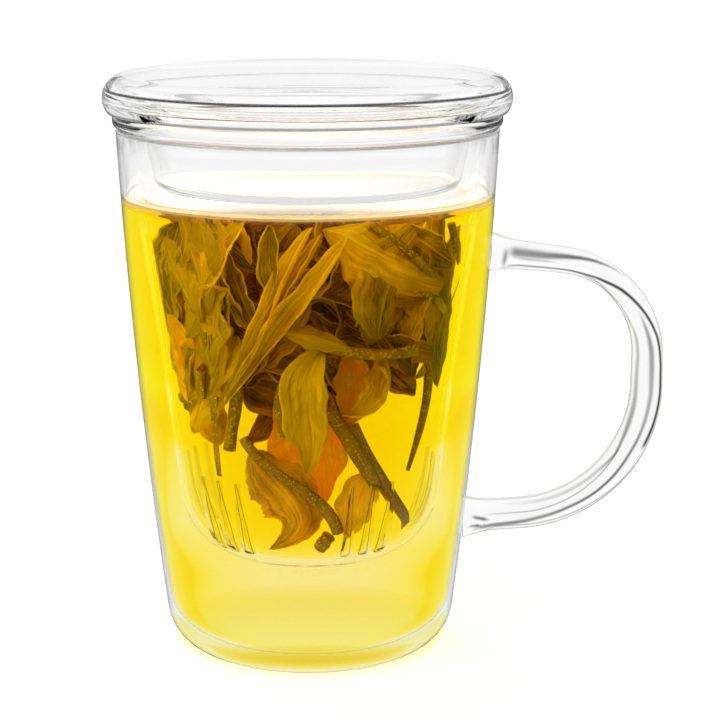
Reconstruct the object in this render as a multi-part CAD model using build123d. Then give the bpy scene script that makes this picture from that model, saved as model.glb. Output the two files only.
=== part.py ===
from build123d import *
import math
import os

# Lidded glass tea mug with a lift-out glass infuser.
# Frame: origin at the centre of the foot on the table, +Z up, handle towards +X. Millimetres.

# Mug body: a tapered blown-glass cup with a thick floor and a fire-polished rim
rim_height = 118.0
rim_radius = 42.15
waist_radius = 37.95          # outer radius at half height
foot_radius = 31.4            # outer radius where the wall line meets the table
foot_corner = 10.0            # rounding between the wall and the foot
rim_wall = 1.8
rim_bead_height = 2.4         # the rim is thicker than the wall over this height
upper_wall = 1.3
waist_wall = 1.5
foot_wall = 2.4
floor_thickness = 4.5
floor_corner = 7.0
rim_rounding = 0.5

# Handle: one drawn glass rod bent to a D, fused to the wall at both ends
upper_root_drop = 28.3        # rim to the centre of the upper root
lower_root_height = 28.6      # table to the centre of the lower root
handle_reach = 34.0           # outermost rod centre, measured from the rim radius
upper_bend_radius = 22.0
handle_side_run = 6.2         # straight stretch between the two bends
upper_run_fall = 4.3          # how far the top run falls before its corner
lower_run_rise = 2.3          # how far the bottom run rises before its corner
upper_rod_diameter = 5.8
lower_rod_diameter = 7.6
root_pad_diameter = 10.0      # glass gathered round each root where the rod is fused on
root_pad_length = 3.0
root_pad_lip = 0.5

# Infuser: a flared glass basket hung from a thick rolled flange
flange_overhang = 0.65        # flange edge beyond the mug rim
flange_thickness = 3.4
flange_rounding = 1.4
collar_clearance = 0.95       # collar to the inside of the mug rim
basket_gap_middle = 5.1       # basket to the inside of the mug, two thirds of the way up
basket_gap_low = 6.0          # the same just above the basket's round bottom
basket_floor_gap = 18.4       # mug floor to basket floor
basket_wall = 1.3
basket_corner = 14.5
basket_crown = 1.2            # how far the basket floor bulges down at its centre
mouth_rounding = 1.6

# Strainer slits: groups of tapered cuts round the basket's lower corner
slit_groups = 5
slits_per_group = 3
slit_pitch_angle = 10.0
first_group_angle = 28.5      # centre of one group, from the front (-Y) towards the handle
slit_height = 17.0
slit_low_offset = 3.2         # slit's lower end above the basket floor
slit_tip_width = 0.5
slit_root_width = 2.0

# Lid: a hollow glass disc with a round edge and a sunken plug
lid_overhang = 2.1            # lid edge beyond the flange
lid_height = 8.1
lid_edge_radius = 5.1
lid_crown = 0.6
lid_plate = 2.2
lid_side_wall = 2.4
lid_base_plate = 1.6
lid_cavity_rounding = 1.5
lid_seam_inset = 3.4          # fused seam between cover and dish, in from the lid edge
plug_depth = 16.3
plug_clearance = 2.2          # plug to the inside of the basket at the plug's bottom
plug_flare = 2.0              # how much wider the plug is where it leaves the lid
plug_wall = 1.5
plug_corner = 2.5
plug_root_rounding = 3.0

# Heights and radii that follow from the sizes above
seat_height = rim_height
flange_top = seat_height + flange_thickness
lid_top = flange_top + lid_height
basket_floor = floor_thickness + basket_floor_gap
basket_low_height = basket_floor + basket_corner
basket_middle_height = (basket_low_height + seat_height) / 2
flange_radius = rim_radius + flange_overhang
lid_radius = flange_radius + lid_overhang
seam_radius = lid_radius - lid_seam_inset
plug_bottom = flange_top - plug_depth


def wall_control(low, middle, high):
    """Middle control point of the shallow parabola through three (radius, height) points."""
    return tuple(2 * m - (a + b) / 2 for a, m, b in zip(low, middle, high))


def wall_radius_at(wall, height):
    """Radius from the mug's axis of a wall curve, whose middle point is at half its height."""
    low, middle, high = wall
    share = (height - low[1]) / (high[1] - low[1])
    control_radius = wall_control(low, middle, high)[0]
    return (1 - share) ** 2 * low[0] + 2 * share * (1 - share) * control_radius + share ** 2 * high[0]


mug_outer_wall = (
    (foot_radius, 0.0),
    (waist_radius, rim_height / 2),
    (rim_radius, rim_height),
)
bead_foot = rim_height - rim_bead_height
inner_middle_height = (floor_thickness + bead_foot) / 2
mug_inner_wall = (
    (wall_radius_at(mug_outer_wall, floor_thickness) - foot_wall, floor_thickness),
    (wall_radius_at(mug_outer_wall, inner_middle_height) - waist_wall, inner_middle_height),
    (wall_radius_at(mug_outer_wall, bead_foot) - upper_wall, bead_foot),
)
collar_radius = rim_radius - rim_wall - collar_clearance
basket_outer_wall = (
    (wall_radius_at(mug_inner_wall, basket_low_height) - basket_gap_low, basket_low_height),
    (wall_radius_at(mug_inner_wall, basket_middle_height) - basket_gap_middle, basket_middle_height),
    (collar_radius, seat_height),
)
plug_radius = wall_radius_at(basket_outer_wall, plug_bottom) - basket_wall - plug_clearance
plug_root_radius = plug_radius + plug_flare


def crown_height_at(edge_radius, crown, radius):
    """Height over its edge, at a radius, of a shallow spherical cap of a given crown."""
    sphere = (edge_radius ** 2 + crown ** 2) / (2 * crown)
    return crown - sphere + math.sqrt(sphere ** 2 - radius ** 2)


def turned(sketch):
    """Solid of revolution about the mug's axis, from a half section in the XZ plane."""
    return revolve(sketch, axis=Axis.Z)


def corner_at(sketch, radius, height):
    """The section's corner nearest to a (radius, height) point."""
    target = Vector(radius, 0, height)
    return min(sketch.vertices(), key=lambda corner: (Vector(*corner) - target).length)


def mug_envelope():
    """The mug's outer shape with no hollow."""
    low, middle, high = mug_outer_wall
    with BuildSketch(Plane.XZ) as section:
        with BuildLine():
            Line((0, 0), low)
            Bezier(low, wall_control(low, middle, high), high)
            Polyline(high, (0, rim_height), (0, 0))
        make_face()
        fillet(corner_at(section.sketch, *low), foot_corner)
    return turned(section.sketch)


def mug_hollow():
    """The space inside the mug, from its floor to above the rim."""
    low, middle, high = mug_inner_wall
    throat = rim_radius - rim_wall
    above = rim_height + rim_wall
    with BuildSketch(Plane.XZ) as section:
        with BuildLine():
            Line((0, floor_thickness), low)
            Bezier(low, wall_control(low, middle, high), high)
            Polyline(high, (throat, rim_height), (throat, above), (0, above), (0, floor_thickness))
        make_face()
        fillet(corner_at(section.sketch, *low), floor_corner)
    return turned(section.sketch)


def make_mug_body():
    cup = mug_envelope() - mug_hollow()
    rim_edges = cup.edges().group_by(Axis.Z)[-1]
    return fillet(rim_edges, rim_rounding)


def bend_reach(run, rise):
    """Distance from a bend's corner to where the bend ends, for a bend radius of one."""
    return math.tan((math.pi / 2 - math.atan2(rise, run)) / 2)


def handle_path():
    """Centre line of the rod: two runs and a side, joined by two bends.

    The lower bend takes the height that the upper bend and the straight side leave over.
    """
    reach = rim_radius + handle_reach
    top = rim_height - upper_root_drop
    upper_start = wall_radius_at(mug_outer_wall, top) - lower_rod_diameter / 2
    lower_end = wall_radius_at(mug_outer_wall, lower_root_height) - lower_rod_diameter / 2
    upper_corner = top - upper_run_fall
    lower_corner = lower_root_height + lower_run_rise
    upper_part = upper_bend_radius * bend_reach(reach - upper_start, upper_run_fall)
    lower_part = upper_corner - lower_corner - handle_side_run - upper_part
    lower_bend_radius = lower_part / bend_reach(reach - lower_end, lower_run_rise)
    corners = [
        (upper_start, 0, top),
        (reach, 0, upper_corner),
        (reach, 0, lower_corner),
        (lower_end, 0, lower_root_height),
    ]
    return FilletPolyline(*corners, radius=[upper_bend_radius, lower_bend_radius])


def rod_section(path, position, diameter):
    """A round section of the rod, square to its centre line."""
    plane = Plane(origin=path @ position, z_dir=path % position)
    return plane * Circle(diameter / 2)


def handle_rod(path):
    """The rod, thin along its top run and thicker down the side and below."""
    upper = upper_rod_diameter
    lower = lower_rod_diameter
    pieces = path.edges()
    sizes = [(upper, upper), (upper, lower)] + [(lower, lower)] * (len(pieces) - 2)
    rod = None
    for piece, (start_size, end_size) in zip(pieces, sizes):
        if start_size == end_size:
            span = sweep(rod_section(piece, 0, start_size), path=piece)
        else:
            sections = [rod_section(piece, 0, start_size), rod_section(piece, 1, end_size)]
            span = sweep(sections, path=piece, multisection=True)
        rod = span if rod is None else rod + span
    return rod


def root_pad(path, position, outward, rod, envelope):
    """A collar of fused glass round one root of the rod, cut to the mug's wall."""
    root = path @ position
    inner = root_pad_diameter / 2
    lip = lower_rod_diameter / 2 + root_pad_lip
    start = lower_rod_diameter / 2
    plane = Plane(origin=root, z_dir=outward)
    collar = plane * Pos(0, 0, start + root_pad_length / 2) * Cone(inner, lip, root_pad_length)
    skirt = plane * Pos(0, 0, start / 2) * Cylinder(inner, start)
    return collar + skirt - envelope - rod


def make_handle_and_pads():
    path = handle_path()
    envelope = mug_envelope()
    rod = handle_rod(path)
    upper_pad = root_pad(path, 0, path % 0, rod, envelope)
    lower_pad = root_pad(path, 1, (path % 1) * -1, rod, envelope)
    return rod - envelope, upper_pad, lower_pad


def basket_shell():
    """The infuser before its slits are cut: flange, flared collar and round-bottomed basket."""
    low, middle, high = basket_outer_wall
    inner_low = (low[0] - basket_wall, low[1])
    inner_middle = (middle[0] - basket_wall, middle[1])
    inner_high = (high[0] - basket_wall, high[1])
    bottom = basket_floor - basket_crown
    floor_edge = low[0] - basket_corner
    corner_middle = basket_corner * math.sqrt(0.5)
    inner_corner = basket_corner - basket_wall
    inner_corner_middle = inner_corner * math.sqrt(0.5)
    floor_middle = floor_edge / 2
    bulge = crown_height_at(floor_edge, basket_crown, floor_middle)
    outer_turn = (floor_edge + corner_middle, low[1] - corner_middle)
    inner_turn = (floor_edge + inner_corner_middle, low[1] - inner_corner_middle)
    with BuildSketch(Plane.XZ) as section:
        with BuildLine():
            ThreePointArc(
                (0, bottom),
                (floor_middle, basket_floor - bulge),
                (floor_edge, basket_floor),
            )
            ThreePointArc((floor_edge, basket_floor), outer_turn, low)
            Bezier(low, wall_control(low, middle, high), high)
            Polyline(high, (flange_radius, seat_height), (flange_radius, flange_top),
                     (inner_high[0], flange_top), inner_high)
            Bezier(inner_high, wall_control(inner_low, inner_middle, inner_high), inner_low)
            ThreePointArc(inner_low, inner_turn, (floor_edge, basket_floor + basket_wall))
            ThreePointArc(
                (floor_edge, basket_floor + basket_wall),
                (floor_middle, basket_floor + basket_wall - bulge),
                (0, bottom + basket_wall),
            )
            Line((0, bottom + basket_wall), (0, bottom))
        make_face()
        fillet(corner_at(section.sketch, flange_radius, seat_height), flange_rounding)
        fillet(corner_at(section.sketch, flange_radius, flange_top), flange_rounding)
        fillet(corner_at(section.sketch, inner_high[0], flange_top), mouth_rounding)
    return turned(section.sketch)


def slit_cutter(angle):
    """A tapered slot, pointed at the top, driven outwards through the basket's corner."""
    turn = math.radians(angle)
    outwards = Vector(math.sin(turn), -math.cos(turn), 0)
    sideways = Vector(math.cos(turn), math.sin(turn), 0)
    start_radius = basket_outer_wall[0][0] - basket_corner
    low_end = basket_floor + slit_low_offset
    plane = Plane(origin=outwards * start_radius, x_dir=sideways, z_dir=outwards)
    with BuildSketch(plane) as slot:
        with Locations((0, low_end + slit_root_width / 2)):
            Circle(slit_root_width / 2)
        with Locations((0, low_end + slit_height - slit_tip_width / 2)):
            Circle(slit_tip_width / 2)
        make_hull()
    return extrude(slot.sketch, amount=basket_corner + basket_gap_low)


def make_infuser():
    basket = basket_shell()
    for group in range(slit_groups):
        centre = first_group_angle + group * 360 / slit_groups
        for slit in range(slits_per_group):
            step = slit - (slits_per_group - 1) / 2
            basket = basket - slit_cutter(centre + step * slit_pitch_angle)
    return basket


def make_lid_cover():
    """Upper half of the hollow lid: crowned top plate and round edge, down to the seam."""
    centre = (lid_radius - lid_edge_radius, lid_top - lid_edge_radius)
    drop = lid_height - lid_edge_radius
    low_angle = -math.degrees(math.asin(drop / lid_edge_radius))
    low_corner = (centre[0] + math.sqrt(lid_edge_radius ** 2 - drop ** 2), flange_top)
    crown_middle = centre[0] / 2
    cavity_radius = lid_radius - lid_side_wall
    cavity_floor = flange_top + lid_base_plate
    cavity_top = lid_top - lid_plate
    with BuildSketch(Plane.XZ) as section:
        with BuildLine():
            Line((seam_radius, flange_top), low_corner)
            CenterArc(centre, lid_edge_radius, low_angle, 90 - low_angle)
            ThreePointArc(
                (centre[0], lid_top),
                (crown_middle, lid_top + crown_height_at(centre[0], lid_crown, crown_middle)),
                (0, lid_top + lid_crown),
            )
            Polyline(
                (0, lid_top + lid_crown),
                (0, cavity_top),
                (cavity_radius, cavity_top),
                (cavity_radius, cavity_floor),
                (seam_radius, cavity_floor),
                (seam_radius, flange_top),
            )
        make_face()
        fillet(corner_at(section.sketch, cavity_radius, cavity_top), lid_cavity_rounding)
    return turned(section.sketch)


def make_lid_dish():
    """Lower half of the hollow lid: the ring that rests on the flange and the sunken plug."""
    ring_top = flange_top + lid_base_plate
    plug_floor = plug_bottom + plug_wall
    with BuildSketch(Plane.XZ) as section:
        with BuildLine():
            Polyline(
                (0, plug_bottom),
                (plug_radius, plug_bottom),
                (plug_root_radius, flange_top),
                (seam_radius, flange_top),
                (seam_radius, ring_top),
                (plug_root_radius - plug_wall, ring_top),
                (plug_radius - plug_wall, plug_floor),
                (0, plug_floor),
                (0, plug_bottom),
            )
        make_face()
        fillet(corner_at(section.sketch, plug_radius, plug_bottom), plug_corner)
        fillet(corner_at(section.sketch, plug_radius - plug_wall, plug_floor), plug_corner - plug_wall / 2)
        fillet(corner_at(section.sketch, plug_root_radius, flange_top), plug_root_rounding)
        fillet(corner_at(section.sketch, plug_root_radius - plug_wall, ring_top), plug_root_rounding)
    return turned(section.sketch)


os.makedirs("parts", exist_ok=True)
handle, handle_pad_upper, handle_pad_lower = make_handle_and_pads()
nodes = {
    "mug_body": make_mug_body(),
    "handle": handle,
    "handle_pad_upper": handle_pad_upper,
    "handle_pad_lower": handle_pad_lower,
    "infuser": make_infuser(),
    "lid_cover": make_lid_cover(),
    "lid_dish": make_lid_dish(),
}
for name, shape in nodes.items():
    export_step(shape, f"parts/{name}.step")
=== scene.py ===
import math

import bpy
import numpy as np
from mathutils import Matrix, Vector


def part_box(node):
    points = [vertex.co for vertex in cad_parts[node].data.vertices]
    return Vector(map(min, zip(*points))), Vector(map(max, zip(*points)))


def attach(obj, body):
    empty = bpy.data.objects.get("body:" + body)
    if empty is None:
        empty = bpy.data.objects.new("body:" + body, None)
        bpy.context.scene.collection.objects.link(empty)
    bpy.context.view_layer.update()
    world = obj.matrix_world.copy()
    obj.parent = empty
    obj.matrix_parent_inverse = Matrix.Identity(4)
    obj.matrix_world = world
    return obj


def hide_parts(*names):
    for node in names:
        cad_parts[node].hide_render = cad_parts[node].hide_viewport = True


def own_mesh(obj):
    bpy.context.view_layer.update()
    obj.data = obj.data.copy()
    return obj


bl_info = {
    "name": "Glass tea mug",
    "version": (1, 0, 0),
    "blender": (4, 5, 0),
    "location": "3D View > Sidebar > Tea mug",
    "description": "Lidded glass tea mug with a hanging glass infuser, brew and steeped leaves",
    "category": "Add Mesh",
}

MM = 0.001
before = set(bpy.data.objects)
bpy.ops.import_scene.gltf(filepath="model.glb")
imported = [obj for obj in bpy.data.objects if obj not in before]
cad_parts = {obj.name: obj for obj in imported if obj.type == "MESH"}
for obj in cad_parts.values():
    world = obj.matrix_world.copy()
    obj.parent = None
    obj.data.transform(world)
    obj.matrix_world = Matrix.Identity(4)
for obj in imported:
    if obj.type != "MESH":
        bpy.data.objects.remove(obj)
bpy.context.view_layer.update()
MUG_LOW, MUG_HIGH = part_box("mug_body")
INFUSER_LOW, INFUSER_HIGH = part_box("infuser")
COVER_LOW, COVER_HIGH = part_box("lid_cover")
DISH_LOW, DISH_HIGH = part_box("lid_dish")
HANDLE_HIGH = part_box("handle")[1]
UP = np.array([0.0, 0.0, 1.0])

# The glass: how far it bends light, there and at the fused roots, and its colour by depth.
GLASS_INDEX = 1.47
ROOT_INDEX = 1.08
GLASS_COLOUR = (0.90, 0.905, 0.90)
# Pale colour of the light on the tea's surface, for its mirror and its painted reflection.
CREAM = (0.97, 0.93, 0.86)

# The infuser hangs in the mug: how far its outside is in from the mug's inside where its wall starts and
# half way up, and from the rim at the top. Its wall starts above a rounded corner.
LOW_GAP = 6.0 * MM
MIDDLE_GAP = 5.1 * MM
COLLAR_GAP = 0.95 * MM
BASKET_CORNER = 14.5 * MM
BASKET_STRAIGHT = INFUSER_LOW.z + 1.2 * MM + BASKET_CORNER

# Slits: height of their lower end, length, width at the lower and upper end, and turns from the front.
SLIT_LOW = INFUSER_LOW.z + 4.4 * MM
SLIT_HEIGHT = 17.0 * MM
SLIT_ROOT = 2.0 * MM
SLIT_TIP = 0.5 * MM
SLIT_TURNS = np.radians(28.5 + 72.0 * np.arange(5)[:, None] + 10.0 * np.arange(-1, 2)).ravel()

# Lid: radius of its round edge, and thickness of its glass.
LID_EDGE = 5.1 * MM
LID_WALL = 1.5 * MM

# Radius from which the painted shade lines under the rim and round the lid's edge are drawn.
RIM_PAINTED_LINE_FROM = 41.4 * MM
LID_PAINTED_BANDS_FROM = 43.5 * MM

# Camera frame: sensor in mm, picture side and the column of the mug's axis in pixels.
SENSOR = 36.0
PICTURE = 720.0
AXIS_COLUMN = 308.0


# ---------------------------------------------------------------- sizes and camera

def length(name, description, millimetres):
    """A length property with its default in millimetres."""
    return bpy.props.FloatProperty(
        name=name, description=description, default=millimetres * MM, unit="LENGTH", precision=5
    )


class TeaMugGlassSizes(bpy.types.PropertyGroup):
    """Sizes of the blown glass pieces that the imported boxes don't give."""

    waist_radius: length("Waist radius", "Outer radius of the mug at half height", 37.95)
    foot_radius: length("Foot radius", "Outer radius where the wall line meets the table", 31.4)
    foot_corner: length("Foot corner", "Rounding between the wall and the foot", 10.0)
    upper_wall: length("Upper wall", "Glass thickness just under the rim", 1.3)
    waist_wall: length("Waist wall", "Glass thickness at half height", 1.5)
    foot_wall: length("Foot wall", "Glass thickness just above the floor", 2.4)
    rim_wall: length("Rim wall", "Glass thickness at the fire-polished rim", 1.8)
    rim_bead: length("Rim bead", "Height over which the rim is thicker", 2.4)
    floor: length("Floor", "Thickness of the mug's floor", 4.5)
    floor_corner: length("Floor corner", "Rounding inside the mug's floor", 7.0)
    basket_wall: length("Basket wall", "Glass thickness of the infuser", 1.3)


class TeaMugBrew(bpy.types.PropertyGroup):
    """The drink."""

    level: length("Tea level", "Height of the tea above the table", 103.1)


class TeaMugStage(bpy.types.PropertyGroup):
    """Camera and floor."""

    distance: length("Camera distance", "From the mug's axis, along the floor", 484.6)
    height: length("Camera height", "Above the table", 170.3)
    pitch: bpy.props.FloatProperty(
        name="Camera pitch", description="Down from level", default=math.radians(12.24), subtype="ANGLE"
    )
    lens: bpy.props.FloatProperty(
        name="Lens", description="Focal length on a 36 mm sensor, in millimetres", default=110.3
    )


# ---------------------------------------------------------------- surfaces

def polyline_with_rounds(corners, radii, steps=9):
    """Profile through corners, each replaced by an arc of its radius.

    An arc touches both sides of its corner: its ends lie radius times the tangent of half the turn
    away from the corner, and its points turn evenly about its centre.
    """
    corners = np.asarray(corners, float)
    radii = np.asarray(radii, float)
    middle = corners[1:-1]
    before = corners[:-2] - middle
    after = corners[2:] - middle
    before /= np.linalg.norm(before, axis=1, keepdims=True)
    after /= np.linalg.norm(after, axis=1, keepdims=True)
    inside = np.arccos(np.clip((before * after).sum(1), -1, 1))
    turn = math.pi - inside
    tangent = radii * np.tan(turn / 2)
    bisector = before + after
    size = np.linalg.norm(bisector, axis=1, keepdims=True)
    bisector = np.divide(bisector, size, out=np.zeros_like(bisector), where=size > 1e-9)
    centre = middle + bisector * (radii / np.maximum(np.sin(inside / 2), 1e-9))[:, None]
    start = middle + before * tangent[:, None] - centre
    side = np.sign(before[:, 1] * after[:, 0] - before[:, 0] * after[:, 1])
    angle = (side * turn)[:, None] * np.linspace(0, 1, steps)
    cosine, sine = np.cos(angle), np.sin(angle)
    x = start[:, :1] * cosine - start[:, 1:] * sine
    y = start[:, :1] * sine + start[:, 1:] * cosine
    arcs = centre[:, None, :] + np.stack([x, y], axis=2)
    points = np.vstack([corners[:1], arcs.reshape(-1, 2), corners[-1:]])
    step = np.linalg.norm(np.diff(points, axis=0), axis=1)
    return points[np.concatenate([[True], step > 1e-7])]


def parabola(low, middle, high, heights):
    """Radius at each height of the parabola through three (radius, height) points."""
    return np.polyval(np.polyfit([low[1], middle[1], high[1]], [low[0], middle[0], high[0]], 2), heights)


def quads(rows, columns, around=True, closed=False):
    """Four-sided faces of a grid of points, row after row.

    Columns that go around join the last one to the first, and a closed grid does so with its rows.
    """
    i, j = np.meshgrid(np.arange(rows - 1 + int(closed)), np.arange(columns - 1 + int(around)), indexing="ij")
    below = (i + 1) % rows
    after = (j + 1) % columns
    corners = [i * columns + j, i * columns + after, below * columns + after, below * columns + j]
    return np.stack(corners, axis=2).reshape(-1, 4)


def with_poles(points, sides, first, last):
    """Surface of rings of points, one ring after another, closed by one pole point at each end."""
    faces = quads(len(points) // sides, sides).tolist()
    ring = np.arange(sides)
    after = (ring + 1) % sides
    end = len(points) - sides
    faces += np.stack([np.full(sides, len(points)), after, ring], axis=1).tolist()
    faces += np.stack([np.full(sides, len(points) + 1), end + ring, end + after], axis=1).tolist()
    return np.vstack([points, [first, last]]), faces


def lathe(profile, segments=224, closed=False):
    """Surface of revolution: every (radius, height) point of the profile goes round the Z axis.

    Point (i, j) is at radius r_i and height z_i, turned by j equal steps. An open profile starts and ends
    on the axis, and is closed there by pole points. A closed one joins its last ring to its first.
    """
    profile = np.asarray(profile, float)
    rings = profile if closed else profile[1:-1]
    turn = even_turns(segments)
    z = np.repeat(rings[:, 1:], segments, axis=1)
    points = np.stack([rings[:, :1] * np.cos(turn), rings[:, :1] * np.sin(turn), z], axis=2).reshape(-1, 3)
    if closed:
        return points, quads(len(rings), segments, closed=True).tolist()
    return with_poles(points, segments, (0, 0, profile[0, 1]), (0, 0, profile[-1, 1]))


def ring(inner_profile, outer_profile):
    """Closed ring between two lines of (radius, height) points, both from the bottom up."""
    return lathe(np.vstack([outer_profile, inner_profile[::-1]]), closed=True)


def tube(centres, across, upwards, radii, sides=40):
    """Tube along a path: at each centre a ring spans the two cross directions, at that radius.

    Point (i, j) is centre_i plus radius_i times (cos a_j across_i + sin a_j upwards_i).
    Both ends are closed by one pole point.
    """
    angle = even_turns(sides)
    rim = np.cos(angle)[:, None] * across[:, None, :] + np.sin(angle)[:, None] * upwards[:, None, :]
    points = (centres[:, None, :] + rim * radii[:, None, None]).reshape(-1, 3)
    return with_poles(points, sides, centres[0], centres[-1])


def even_turns(count):
    """So many equal steps of a full turn, from 0."""
    return np.arange(count) * 2 * math.pi / count


def unit(vectors):
    """The same directions, each one long."""
    return vectors / np.linalg.norm(vectors, axis=-1, keepdims=True)


def line(radii, heights):
    """Profile of (radius, height) points. One radius may do for all the heights."""
    return np.column_stack([np.broadcast_to(radii, np.shape(heights)), heights])


def joined(parts):
    """One (points, faces) of several."""
    points, faces, total = [], [], 0
    for part, part_faces in parts:
        points.append(part)
        faces += [[index + total for index in face] for face in part_faces]
        total += len(part)
    return np.vstack(points), faces


def piece(name, points, faces, material, body, slot_name, replaced=()):
    """A smooth-shaded mesh that rides on a CAD body."""
    mesh = bpy.data.meshes.new(name)
    mesh.from_pydata(np.asarray(points).tolist(), [], faces)
    mesh.validate()
    mesh.polygons.foreach_set("use_smooth", np.ones(len(mesh.polygons), bool))
    mesh.materials.append(material)
    mesh.update()
    thing = bpy.data.objects.new(name, mesh)
    bpy.context.scene.collection.objects.link(thing)
    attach(thing, body)
    if replaced:
        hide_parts(*replaced)
    return thing


def add_values(thing, name, values):
    """Gives every point of a mesh one number under a name that its material reads."""
    attribute = thing.data.attributes.new(name, "FLOAT", "POINT")
    attribute.data.foreach_set("value", np.asarray(values, np.float32))


# ---------------------------------------------------------------- materials

def new_material(name, glows=False):
    """An empty material and its node tree. One that glows lights nothing round it."""
    material = bpy.data.materials.new(name)
    material.use_nodes = True
    material.node_tree.nodes.clear()
    if glows:
        material.cycles.emission_sampling = "NONE"
    return material, material.node_tree


def node(tree, kind, sockets=None, **settings):
    """Makes one node and gives its outputs. Each socket holds a number, a colour or another node's output."""
    made = tree.nodes.new("ShaderNode" + kind)
    for name, value in settings.items():
        setattr(made, name, value)
    for name, value in (sockets or {}).items():
        if isinstance(value, bpy.types.NodeSocket):
            tree.links.new(value, made.inputs[name])
        elif made.inputs[name].type == "RGBA":
            made.inputs[name].default_value = (*value, 1)
        elif value is not None:
            made.inputs[name].default_value = value
    return made.outputs


def calc(tree, operation, first, second=None):
    """One sum on node outputs or numbers."""
    return node(tree, "Math", {0: first, 1: second}, operation=operation)[0]


def step(tree, source, low, high, first=0.0, last=1.0, way="SMOOTHSTEP"):
    """Number that goes from first to last while the source goes from low to high."""
    reach = {"Value": source, "From Min": low, "From Max": high, "To Min": first, "To Max": last}
    return node(tree, "MapRange", reach, interpolation_type=way)[0]


def ramp(tree, source, stops):
    """Colour by position: stops are (position, colour), and one number stands for a grey."""
    made = tree.nodes.new("ShaderNodeValToRGB")
    tree.links.new(source, made.inputs[0])
    elements = made.color_ramp.elements
    while len(elements) < len(stops):
        elements.new(0.5)
    for element, (position, colour) in zip(elements, stops):
        element.position = position
        element.color = (*np.broadcast_to(colour, 3), 1)
    return made.outputs[0]


def noise(tree, place, scale, detail):
    return node(tree, "TexNoise", {"Vector": place, "Scale": scale, "Detail": detail})[0]


def mix(tree, share, first, second=None):
    """The first shader, and by the share the second. With no second it goes dark."""
    return node(tree, "MixShader", {0: share, 1: first, 2: second})[0]


def mixed_colour(tree, share, first, second, way="MIX"):
    sockets = {"Factor": share, "A": first, "B": second}
    return node(tree, "Mix", sockets, data_type="RGBA", blend_type=way)["Result"]


def clear(tree, tint=(1, 1, 1)):
    return node(tree, "BsdfTransparent", {"Color": tint})[0]


def glow(tree, colour):
    return node(tree, "Emission", {"Color": colour})[0]


def edge_on(tree):
    """0 where the surface faces the eye, 1 where it is seen edge-on."""
    return node(tree, "LayerWeight", {"Blend": 0.5})["Facing"]


def axes(tree):
    """The point's own X, Y and Z."""
    return node(tree, "SeparateXYZ", {0: node(tree, "TexCoord")["Object"]})


def by_height(tree, stops):
    """Number that changes with height: stops are (height in metres, value), smoothly joined."""
    height = axes(tree)["Z"]
    total = None
    for (low, before), (high, after) in zip(stops[:-1], stops[1:]):
        if total is None:
            total = step(tree, height, low, high, before, after)
        elif before != after:
            total = calc(tree, "ADD", total, step(tree, height, low, high, 0.0, after - before))
    return total


def seen_directly(tree):
    """1 for camera, mirror and refracted rays, and 0 for the light that falls on or has left a surface.

    Also gives the ray's kinds, and 1 for rays that have left a surface.
    """
    path = node(tree, "LightPath")
    either = calc(tree, "MAXIMUM", path["Is Camera Ray"], path["Is Glossy Ray"])
    either = calc(tree, "MAXIMUM", either, path["Is Transmission Ray"])
    fallen = calc(tree, "MINIMUM", path["Diffuse Depth"], 1.0)
    return calc(tree, "MULTIPLY", either, calc(tree, "SUBTRACT", 1.0, fallen)), path, fallen


def glow_over(tree, share, colour):
    """Covers what is behind the piece with a glowing colour, painted light, by a share, where it is seen
    directly.
    """
    seen, _, _ = seen_directly(tree)
    surface = mix(tree, calc(tree, "MULTIPLY", share, seen), clear(tree), glow(tree, colour))
    node(tree, "OutputMaterial", {"Surface": surface})


def lit_through(tree, surface, tint=(1, 1, 1), share=1.0):
    """A surface that lets a share of the light go on to what is behind it."""
    shadow = node(tree, "LightPath")["Is Shadow Ray"]
    if share < 1:
        shadow = calc(tree, "MULTIPLY", shadow, share)
    return mix(tree, shadow, surface, clear(tree, tint))


def clear_material(
    name, tint=(1, 1, 1), index=GLASS_INDEX, absorbed=GLASS_COLOUR, density=0.0, painted_outline=(),
    painted_flat_outline=((0, 1), (1, 1)), index_by_height=(), gloss=0.7, drawn=False,
):
    """Clear solid that lets lamplight through and takes colour from light by depth.

    Outline stops are (turn away from the eye from 0 to 1, grey): painted shade for the dark lines that
    reflections of the surroundings draw near the glass's outlines, and the flat ones the same for faces that
    lie flat. index_by_height is (height, index) stops, because glass bends light less where it stands in
    liquid. A drawn one is darker by the mesh's painted shade where light enters it. A tint counts by its
    square root, so the shade is squared.
    """
    material, tree = new_material(name)
    colour = tint
    if painted_outline:
        facing = edge_on(tree)
        surface = node(tree, "NewGeometry")
        upward = node(tree, "SeparateXYZ", {0: surface["Normal"]})["Z"]
        flat = step(tree, calc(tree, "ABSOLUTE", upward), 0.97, 0.995)
        colour = mixed_colour(tree, flat, ramp(tree, facing, painted_outline), ramp(tree, facing, painted_flat_outline))
    if drawn:
        entry = calc(tree, "SUBTRACT", 1.0, node(tree, "NewGeometry")["Backfacing"])
        shade = node(tree, "Attribute", attribute_name="shade")["Fac"]
        colour = mixed_colour(tree, entry, colour, calc(tree, "POWER", shade, 2.0), "MULTIPLY")
    glass = node(tree, "BsdfPrincipled", {
        "Base Color": tint,
        "Roughness": 0.0,
        "Specular Tint": (gloss, gloss, gloss),
        "IOR": index,
        "Transmission Weight": 1.0,
    })[0]
    if painted_outline or drawn:
        tree.links.new(colour, glass.node.inputs["Base Color"])
    if index_by_height:
        tree.links.new(by_height(tree, index_by_height), glass.node.inputs["IOR"])
    depth = node(tree, "VolumeAbsorption", {"Color": absorbed, "Density": density})[0] if density else None
    node(tree, "OutputMaterial", {"Surface": lit_through(tree, glass, tint), "Volume": depth})
    return material


# ---------------------------------------------------------------- glass pieces

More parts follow.
